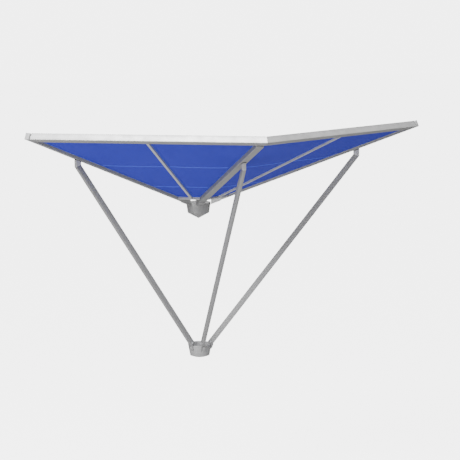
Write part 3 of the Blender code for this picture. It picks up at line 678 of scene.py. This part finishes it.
def mast_sleeve(mats):
    """The sleeve on the mast, with a flange at its foot and a groove for the retaining ring."""
    low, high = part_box("mast_sleeve")
    bore = 0.0253
    body_radius = 0.029
    flange_top = 0.0055
    groove_radius = 0.027
    groove_low = 0.0510
    groove_high = 0.0532
    outline = [(bore, low.z), (high.x, low.z), (high.x, flange_top), (body_radius, flange_top),
               (body_radius, groove_low), (groove_radius, groove_low), (groove_radius, groove_high),
               (body_radius, groove_high), (body_radius, high.z), (bore, high.z)]
    turned("mast_sleeve", "turned", rounded_outline(outline, 0.0005), mats["steel"], "mast_mount")


def ring_hub_and_mast(mats):
    sliding_bore = 0.0293
    snap_bore = 0.0273
    cast_ring(mats)
    turned_collar("ring_bush", sliding_bore, 0.0006, mats["bush"], "head")
    cast_hub(mats)
    mast_sleeve(mats)
    turned_collar("thrust_washer", sliding_bore, 0.0004, mats["bush"], "mast_mount")
    turned_collar("retaining_ring", snap_bore, 0.0004, mats["steel"], "mast_mount")


# ---------------------------------------------------------------- fasteners
def dome_into(bm, place, radius, height):
    """A domed rivet head; the frame's Z points out of the surface."""
    rows = [(radius, -0.0002), (radius * 0.99, height * 0.3), (radius * 0.82, height * 0.72),
            (radius * 0.5, height * 0.94)]
    rings = [[bm.verts.new(place @ point) for point in circle(r, 20, z)] for r, z in rows]
    for near, far in zip(rings, rings[1:]):
        bridge(bm, near, far)
    tip = bm.verts.new(place @ Vector((0, 0, height)))
    last = rings[-1]
    for i in range(len(last)):
        bm.faces.new((last[i], last[(i + 1) % len(last)], tip))
    bm.faces.new(list(reversed(rings[0])))


def rivets(name, body, mats, places):
    """Domed rivet heads, one at each frame in the list, as one piece."""
    bm = bmesh.new()
    for place in places:
        dome_into(bm, place, radius=0.0032, height=0.0014)
    make_piece(name, bm, mats["steel"], body, radians(50))


def facing(matrix, point, outward):
    """A frame at a point of another frame, with its Z along one of that frame's directions."""
    turn = matrix.to_3x3() @ Vector(outward).to_track_quat('Z', 'Y').to_matrix()
    return Matrix.Translation(matrix @ Vector(point)) @ turn.to_4x4()


def pin_with_heads(node, azimuth, body, mats):
    """The foot pin: a plain head on one side, a peened dome on the other."""
    low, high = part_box(node)
    centre = (low + high) / 2
    across = Vector((0, 0, 1)).cross(radial(azimuth))
    reach = max(abs((v.co - centre).dot(across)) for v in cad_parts[node].data.vertices)
    head = 0.0062
    head_edge = 0.0006
    shank = 0.00375
    shoulder = reach - 0.0028
    outline = [(0, -reach), (head - head_edge, -reach), (head, -reach + head_edge), (head, -shoulder),
               (shank, -shoulder), (shank, shoulder), (head, shoulder), (head * 0.96, shoulder + 0.0011),
               (head * 0.75, reach - 0.0005), (head * 0.4, reach), (0, reach)]
    bm = spin_profile(outline, 32, closed=False)
    place = Matrix.Translation(centre) @ across.to_track_quat('Z', 'Y').to_matrix().to_4x4()
    bmesh.ops.transform(bm, matrix=place, verts=bm.verts)
    pin = make_piece(f"{node}_peened", bm, mats["steel"], body, radians(35))
    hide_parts(node)


# ---------------------------------------------------------------- cloth
class Panel:
    """One half of a bay's cloth, in the bay's own frame: X outward, Y across, Z square to the cloth."""

    def __init__(self, label, half, bay, sign, edge):
        self.label = label
        self.name = f"{label}_cloth_{half}"
        self.wing = f"{label}_wing"
        self.side_rail = "arm_rail" if half == "outer" else "hinge_rail"
        self.frame = sloped_frame(bay, BAY_SLOPE)
        self.sign = sign
        self.near = INNER_REACH + GAP
        self.far = RIM_REACH - RIM_WIDTH - GAP
        self.long = self.far - self.near
        self.inset = edge / cos(HALF_BAY_ANGLE)
        self.middle = MID_BAR_WIDTH / 2 + GAP

    def width(self, x):
        return x * tan(HALF_BAY_ANGLE) - self.inset - self.middle

    def level(self, x, across):
        """Height of the cloth's middle surface, which hangs a little between the rails."""
        u = (x - self.near) / self.long
        v = across / self.width(x)
        hang = CLOTH_SAG * (1 - (2 * u - 1) ** 4) * (1 - (2 * v - 1) ** 4) * (0.55 + 0.45 * u)
        free = min(1.0, 8 * min(u, 1 - u, v, 1 - v))
        pull = 0.0007 * noise.noise(Vector((x * 5.0, across * 9.0, self.sign + 3.0))) * free
        return CLOTH_LEVEL - hang + pull

    def point(self, x, across, lift=0.0):
        place = Vector((x, self.sign * (self.middle + across), self.level(x, across) + lift))
        return self.frame @ place

    def area(self):
        return (self.width(self.near) + self.width(self.far)) / 2 * self.long


def sheet_grid(panel, rows, columns, spot, thickness, lift):
    """A thin closed sheet over the panel; spot gives (x, across) for two shares from 0 to 1."""
    bm = bmesh.new()
    flat = bm.loops.layers.uv.new("flat")
    sides = []
    for offset in (lift + thickness / 2, lift - thickness / 2):
        places = [[spot(i / rows, j / columns) for j in range(columns + 1)] for i in range(rows + 1)]
        sides.append([[(bm.verts.new(panel.point(*place, offset)), place) for place in row]
                      for row in places])

    def face(corners):
        made = bm.faces.new([vert for vert, _ in corners])
        for loop, (_, (x, across)) in zip(made.loops, corners):
            loop[flat].uv = (x, across)

    top, bottom = sides
    for i in range(rows):
        for j in range(columns):
            face([top[i][j], top[i + 1][j], top[i + 1][j + 1], top[i][j + 1]])
            face([bottom[i][j], bottom[i][j + 1], bottom[i + 1][j + 1], bottom[i + 1][j]])
    border = [(i, 0) for i in range(rows)] + [(rows, j) for j in range(columns)]
    border += [(i, columns) for i in range(rows, 0, -1)] + [(0, j) for j in range(columns, 0, -1)]
    for (a, b), (c, d) in zip(border, border[1:] + border[:1]):
        face([top[a][b], bottom[a][b], bottom[c][d], top[c][d]])
    bmesh.ops.recalc_face_normals(bm, faces=bm.faces)
    return bm


def join_meshes(meshes):
    """Several meshes made into one, so that a panel's strips are one piece."""
    whole = bmesh.new()
    for part in meshes:
        carried = bpy.data.meshes.new("carried")
        part.to_mesh(carried)
        part.free()
        whole.from_mesh(carried)
        bpy.data.meshes.remove(carried)
    return whole


def stitch_into(bm, panel, start, end, side):
    """A row of stitches between two (x, across) spots, standing a little proud of the cloth."""
    pitch = 0.0042
    length = 0.0029
    half_width = 0.00035
    thick = 0.00032
    start = Vector(start)
    end = Vector(end)
    count = max(1, int((end - start).length / pitch))
    ahead = (end - start).normalized()
    aside = Vector((-ahead.y, ahead.x)) * half_width
    cover = TAPE_THICKNESS if side < 0 else 0.0
    proud = side * (CLOTH_THICKNESS / 2 + cover)
    for k in range(count):
        spot = start.lerp(end, (k + 0.5) / count)
        tips = [panel.point(*(spot + ahead * length * way), proud) for way in (-0.5, 0.5)]
        edges = [panel.point(*(spot + aside * way), proud) for way in (-1, 1)]
        top = panel.point(*spot, proud + side * thick)
        deep = panel.point(*spot, proud - side * thick)
        a, b = [bm.verts.new(tip) for tip in tips]
        ring = [bm.verts.new(p) for p in (edges[0], top, edges[1], deep)]
        for i in range(4):
            bm.faces.new((a, ring[i], ring[(i + 1) % 4]))
            bm.faces.new((b, ring[(i + 1) % 4], ring[i]))


def panel_lines(panel, inset):
    """The panel's four edges as (x, across) pairs, moved in from the rails by a distance."""
    near = panel.near + inset
    far = panel.far - inset
    slant = inset / cos(HALF_BAY_ANGLE)
    return [((near, inset), (far, inset)), ((far, inset), (far, panel.width(far) - slant)),
            ((far, panel.width(far) - slant), (near, panel.width(near) - slant)),
            ((near, panel.width(near) - slant), (near, inset))]


def woven_cloth(panel, mats):
    def whole(u, v):
        x = panel.near + panel.long * u
        return x, panel.width(x) * v

    bm = sheet_grid(panel, CLOTH_ROWS, CLOTH_COLUMNS, whole, CLOTH_THICKNESS, 0.0)
    cloth = make_piece(f"{panel.name}_woven", bm, mats["cloth"], panel.wing)
    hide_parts(panel.name)
    return cloth


def folded_hems(panel, mats):
    """The cloth's four edges folded under, as one piece."""
    def rim_hem(u, v):
        x = panel.far - HEM * u
        return x, panel.width(x) * v

    def hub_hem(u, v):
        x = panel.near + HEM * u
        return x, panel.width(x) * v

    def bar_hem(u, v):
        return panel.near + HEM + (panel.long - 2 * HEM) * v, HEM * u

    def arm_hem(u, v):
        x = panel.near + HEM + (panel.long - 2 * HEM) * v
        return x, panel.width(x) - HEM_SLANT * u

    strips = ((rim_hem, CLOTH_COLUMNS), (hub_hem, 12), (bar_hem, CLOTH_ROWS), (arm_hem, CLOTH_ROWS))
    bm = join_meshes([sheet_grid(panel, 2, columns, strip, TAPE_THICKNESS, UNDER_CLOTH)
                      for strip, columns in strips])
    return make_piece(f"{panel.name}_hems", bm, mats["cloth"], panel.wing)


def seam_tapes(panel, mats):
    """Tapes over the cloth's two seams, which run level across the bay."""
    tapes = []
    for share in SEAM_SHARES:
        def across_tape(u, v, centre=RIM_REACH * share):
            x = centre + TAPE_WIDTH * (u - 0.5)
            return x, HEM + (panel.width(x) - HEM - HEM_SLANT) * v

        tapes.append(sheet_grid(panel, 2, CLOTH_COLUMNS, across_tape, TAPE_THICKNESS, UNDER_CLOTH))
    bm = join_meshes(tapes)
    return make_piece(f"{panel.name}_seam_tapes", bm, mats["seam"], panel.wing)


def machine_stitches(panel, mats):
    """Two rows round the hems and one along each edge of the tapes, on both faces of the cloth."""
    hem_row = HEM - 0.0035
    edge_row = 0.005
    tape_row = TAPE_WIDTH / 2 - 0.0022
    bm = bmesh.new()
    for side in (-1, 1):
        for start, end in panel_lines(panel, hem_row) + panel_lines(panel, edge_row):
            stitch_into(bm, panel, start, end, side)
        for share in SEAM_SHARES:
            for shift in (-tape_row, tape_row):
                x = RIM_REACH * share + shift
                stitch_into(bm, panel, (x, HEM), (x, panel.width(x) - HEM_SLANT), side)
    return make_piece(f"{panel.name}_stitches", bm, mats["thread"], panel.wing)


def edge_cord(panel, mats):
    """The cord that is sewn into the cloth's four edges."""
    radius = 0.0016
    inset = 0.0012
    drop = -0.0006
    steps = 24
    bm = bmesh.new()
    for start, end in panel_lines(panel, inset):
        path = [panel.point(*Vector(start).lerp(Vector(end), k / steps), drop) for k in range(steps + 1)]
        round_bar_into(bm, path, [radius] * len(path))
    return make_piece(f"{panel.name}_edge_cord", bm, mats["seam"], panel.wing)


def cloth_panel(panel, mats):
    """One cloth half with hems, two seam tapes, stitching and the cord sewn into its edge."""
    cloth = woven_cloth(panel, mats)
    sewn_on = [make(panel, mats) for make in (folded_hems, seam_tapes, machine_stitches, edge_cord)]
    panel.width(panel.far)
    panel.area()


# ---------------------------------------------------------------- whole head
def side_rail_frame(bay, arm_azimuth):
    """The bay's own frame turned in its plane, so that X runs beside one of its two arms."""
    turn = HALF_BAY_ANGLE if arm_azimuth > bay else -HALF_BAY_ANGLE
    return sloped_frame(bay, BAY_SLOPE) @ Matrix.Rotation(turn, 4, 'Z')


def build_wing(label, side, mats):
    azimuth = side * ARM_SPACING
    bay = azimuth / 2
    wing = f"{label}_wing"
    rim = f"{label}_rim_rail"
    inner = f"{label}_inner_rail"
    mid_bar = f"{label}_mid_bar"
    bay_frame = sloped_frame(bay, BAY_SLOPE)
    across_frame = bay_frame @ Matrix.Rotation(radians(90), 4, 'Z')
    side_rails = [(f"{label}_hinge_rail", side_rail_frame(bay, 0)),
                  (f"{label}_arm_rail", side_rail_frame(bay, azimuth))]
    drawn_tube(f"{label}_arm", wing, sloped_frame(azimuth, ARM_SLOPE), mats["tube"], BROAD_TUBE_EDGE)
    softened(f"{label}_arm_cap", mats["cap"], wing, radius=0.0012)
    drawn_tube(rim, wing, across_frame, mats["tube"], BROAD_TUBE_EDGE)
    # The inner rail and the middle bar are drawn in the paler aluminium, whose extra lightness is painted
    # light.
    drawn_tube(inner, wing, across_frame, mats["bright"], BROAD_TUBE_EDGE)
    drawn_tube(mid_bar, wing, bay_frame, mats["bright"], BAR_EDGE)
    for rail, rail_frame in side_rails:
        drawn_tube(rail, wing, rail_frame, mats["tube"], BAR_EDGE)
    arm_end = 1 if side > 0 else 0
    joints = [(rim, across_frame, arm_end, OPEN_ROUND, RIM_BEAD),
              (inner, across_frame, arm_end, ALL_ROUND, RIM_BEAD)]
    for end in (0, 1):
        joints.append((mid_bar, bay_frame, end, ALL_ROUND, BAR_BEAD))
        joints += [(rail, rail_frame, end, ALL_ROUND, BAR_BEAD) for rail, rail_frame in side_rails]
    weld_tube_ends(f"{label}_wing_welds", wing, mats["weld"], joints)
    softened(f"{label}_hinge_wing_leaf", mats["steel"], wing, radius=0.0004)
    hinge_inset = CLOTH_HINGE_SETBACK + (MIDDLE_ARM_RIGHT if side > 0 else MIDDLE_ARM_LEFT)
    for half, sign, edge in (("outer", side, CLOTH_ARM_INSET), ("inner", -side, hinge_inset)):
        cloth_panel(Panel(label, half, bay, sign, edge), mats)


def build_strut(label, azimuth, body, mats):
    strut = f"{label}_strut"
    matrix = strut_frame(azimuth)
    drawn_tube(strut, body, matrix, mats["tube"], STRUT_EDGE)
    # The strut head is drawn in the paler casting, whose extra lightness is painted light.
    softened(f"{label}_strut_head", mats["block"], body, radius=0.0015)
    softened(f"{label}_strut_pad", mats["pad"], body, radius=0.0007)
    softened(f"{label}_foot_clevis", mats["cast"], "head", radius=0.0006)
    softened(f"{label}_arm_cradle", mats["cast"], "head", radius=0.001)
    pin_with_heads(f"{label}_foot_pin", azimuth, "head", mats)
    top = min(tube_corners(strut, matrix)[1][1].values())
    places = [facing(matrix, (top - below, way * STRUT_WIDTH / 2, 0), (0, way, 0))
              for below in (0.018, 0.052) for way in (-1, 1)]
    rivets(f"{label}_strut_rivets", body, mats, places)


def build_hinge(label, mats):
    softened(f"{label}_hinge_arm_leaf", mats["steel"], "head", radius=0.0004)
    softened(f"{label}_hinge_rod", mats["steel"], "head", radius=0.0003)


def build_head(mats):
    ring_hub_and_mast(mats)
    drawn_tube("middle_arm", "head", sloped_frame(0, ARM_SLOPE), mats["tube"], BROAD_TUBE_EDGE)
    softened("middle_arm_cap", mats["cap"], "head", radius=0.0012)
    build_strut("middle", MIDDLE_STRUT_AZIMUTH, "head", mats)
    for label, side in SIDES:
        build_wing(label, side, mats)
        build_strut(label, side * ARM_SPACING, f"{label}_strut_arm", mats)
        build_hinge(label, mats)


build_head(make_materials())
lay_floor()
light_studio()
place_camera()
